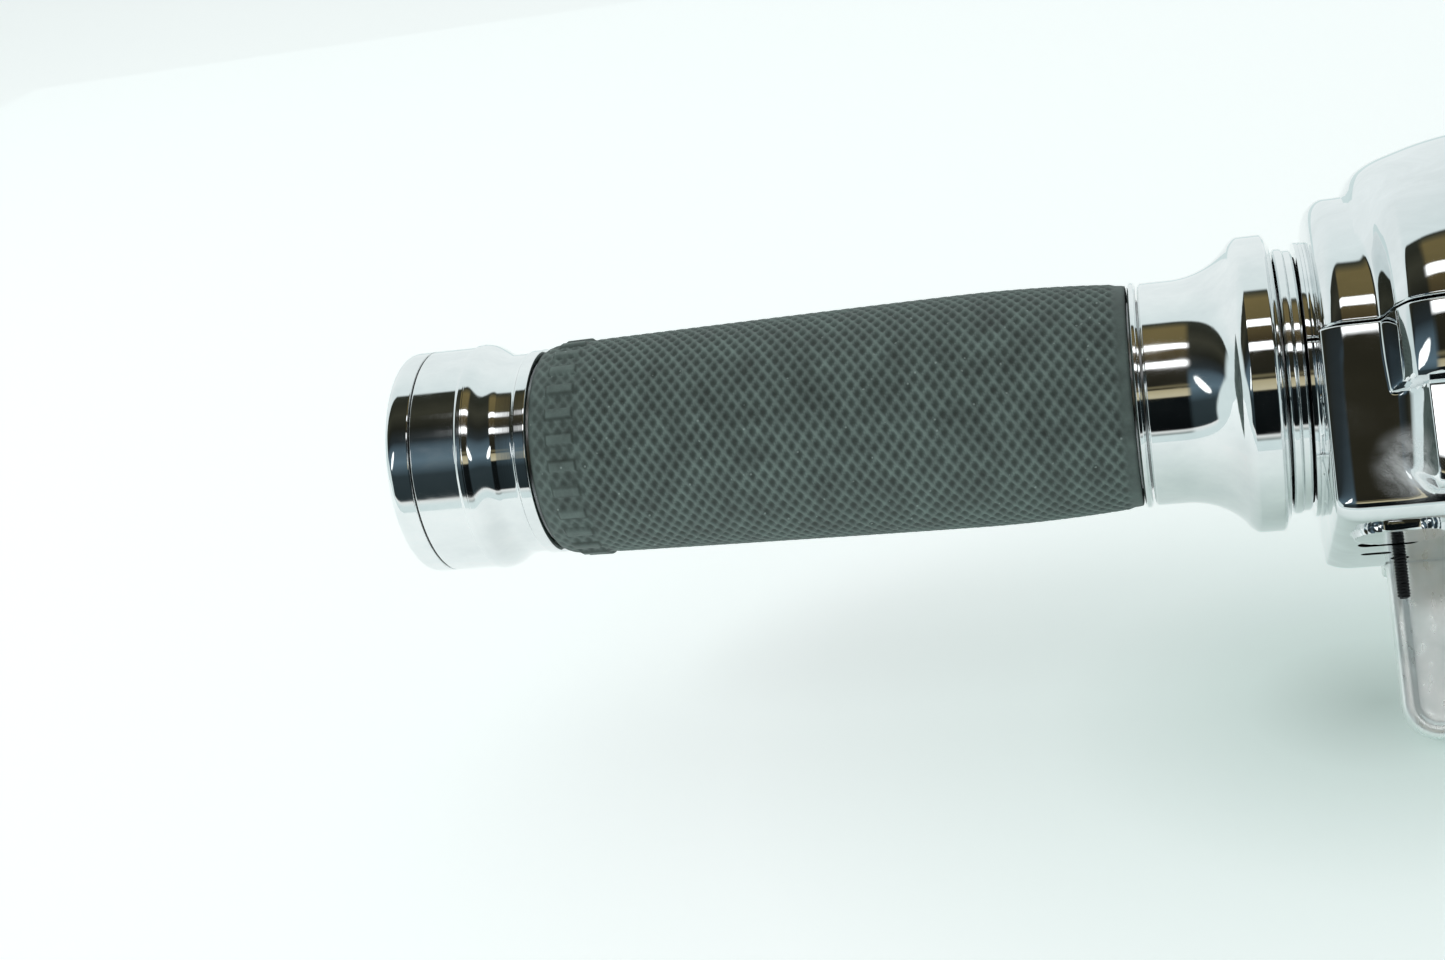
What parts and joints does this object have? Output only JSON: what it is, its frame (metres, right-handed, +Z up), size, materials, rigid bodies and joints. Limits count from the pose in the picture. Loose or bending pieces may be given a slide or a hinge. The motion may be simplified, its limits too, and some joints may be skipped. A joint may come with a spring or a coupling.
{
  "type": "motorcycle twist grip with control housing",
  "caption": "Knurled rubber twist grip with chrome end collars, running in a two-piece chrome housing with a bracket arm.",
  "frame": {"origin": "on the handlebar axis, at the seam between the turning grip and the housing", "axes": "+X along the handlebar from the closed outer end of the grip to the housing, +Z up as the part lies on a bench with the arm down"},
  "size_m": [0.1859, 0.0719, 0.083],
  "materials": {
    "chrome": "polished bright chrome with fine hairline scratches",
    "housing_chrome": "chrome plate over a die casting, slightly wavy",
    "grip_rubber": "aged grey-green black rubber with a fine diamond knurl and specks",
    "seal_rubber": "plain black rubber",
    "alloy": "turned aluminium",
    "steel": "zinc-plated steel",
    "black_steel": "black-oxide steel thread",
    "brass": "turned brass",
    "acetal": "moulded black acetal"
  },
  "bodies": {
    "housing": {"upper_housing": "housing_chrome", "lower_housing": "housing_chrome", "mouth_seal": "seal_rubber", "clamp_screw_front": "steel", "clamp_screw_back": "steel", "lock_washer_front": "steel", "lock_washer_back": "steel", "bracket_arm": "chrome", "arm_screw_1": "steel", "arm_screw_2": "steel", "cable_ferrule": "brass"},
    "grip": {"end_cap": "chrome", "end_cap_screw": "steel", "end_cap_gasket": "seal_rubber", "end_plug": "alloy", "outer_collar": "chrome", "throttle_tube": "alloy", "rubber_sleeve": "grip_rubber", "trim_ring": "chrome", "inner_bell": "chrome", "step_ring": "chrome", "cable_drum": "acetal"},
    "friction_adjuster": {"friction_screw": "black_steel"},
    "friction_pad": {"friction_shoe": "brass", "friction_spring": "steel"}
  },
  "joints": [
    {"name": "throttle_twist", "type": "hinge", "parent": "housing", "child": "grip", "pos_m": [0, 0, 0], "axis": [1, 0, 0], "range_deg": [0, 80]},
    {"name": "friction_screw_turn", "type": "hinge", "parent": "housing", "child": "friction_adjuster", "pos_m": [0.0113, -0.0133, -0.02514], "axis": [0, 0.6157, 0.788], "range_deg": [0, 360]},
    {"name": "shoe_press", "type": "slide", "parent": "housing", "child": "friction_pad", "axis": [0, 0.6157, 0.788], "range_m": [0, 0.00045]}
  ],
  "couplings": [
    {"joint": "friction_screw_turn", "follows": "shoe_press", "rad_per_m": 13963}
  ]
}
